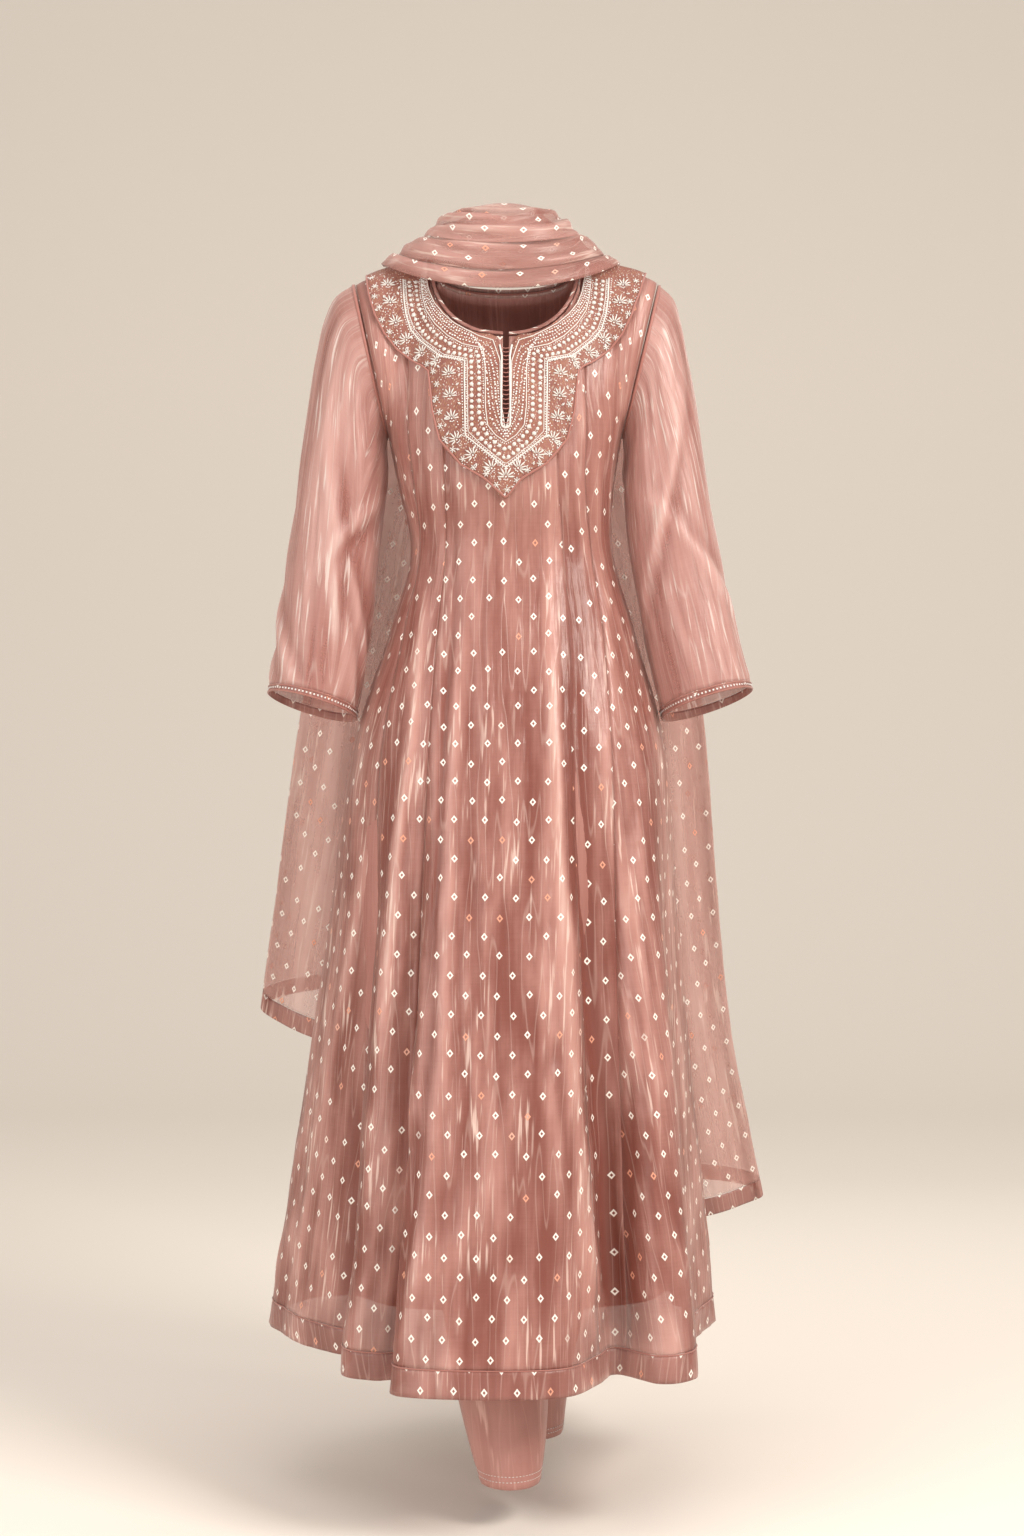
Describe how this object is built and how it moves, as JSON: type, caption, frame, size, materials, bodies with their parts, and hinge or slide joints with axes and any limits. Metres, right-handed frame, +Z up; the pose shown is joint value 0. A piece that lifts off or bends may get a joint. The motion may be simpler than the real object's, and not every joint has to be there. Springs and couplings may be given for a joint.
{
  "type": "salwar kameez suit",
  "caption": "Flared sheer kameez with an embroidered yoke, long sleeves and an inner slip, worn over narrow trousers with a dotted scarf wound at the neck.",
  "frame": {"origin": "on the wearer's middle line at the height of the neck points, half way between chest and back, where the shoulders carry the set", "axes": "+Z up along the wearer, -Y out of the front of the garment, +X towards the wearer's left"},
  "size_m": [0.6618, 0.6518, 1.4937],
  "materials": {
    "kameez_organza": "semi-sheer dusty-rose organza with a soft sheen and tie-dyed dots",
    "border": "doubled organza band, bound edge",
    "slip_satin": "opaque satin slip",
    "yoke_embroidery": "dense bead and thread embroidery on rose organza",
    "trouser_silk": "plain opaque silk",
    "dupatta_organza": "semi-sheer dusty-rose organza with tie-dyed dots"
  },
  "bodies": {
    "root": {"front_centre": "kameez_organza", "front_mid_l": "kameez_organza", "front_mid_r": "kameez_organza", "front_side_l": "kameez_organza", "front_side_r": "kameez_organza", "back_centre": "kameez_organza", "back_mid_l": "kameez_organza", "back_mid_r": "kameez_organza", "back_side_l": "kameez_organza", "back_side_r": "kameez_organza", "sleeve_l": "kameez_organza", "sleeve_r": "kameez_organza", "hem_band_front": "border", "hem_band_back": "border", "cuff_band_l": "border", "cuff_band_r": "border", "neck_binding": "border", "dupatta_band_l": "border", "dupatta_band_r": "border", "lining_front_r": "slip_satin", "lining_front_centre_r": "slip_satin", "lining_front_centre_l": "slip_satin", "lining_front_l": "slip_satin", "lining_back_l": "slip_satin", "lining_back_centre": "slip_satin", "lining_back_r": "slip_satin", "yoke": "yoke_embroidery", "trouser_front_l": "trouser_silk", "trouser_front_r": "trouser_silk", "trouser_back_l": "trouser_silk", "trouser_back_r": "trouser_silk", "waistband": "trouser_silk", "dupatta_front_lower": "dupatta_organza", "dupatta_front_middle": "dupatta_organza", "dupatta_front_upper": "dupatta_organza", "dupatta_nape": "dupatta_organza", "dupatta_end_l": "dupatta_organza", "dupatta_end_r": "dupatta_organza"}
  },
  "joints": []
}
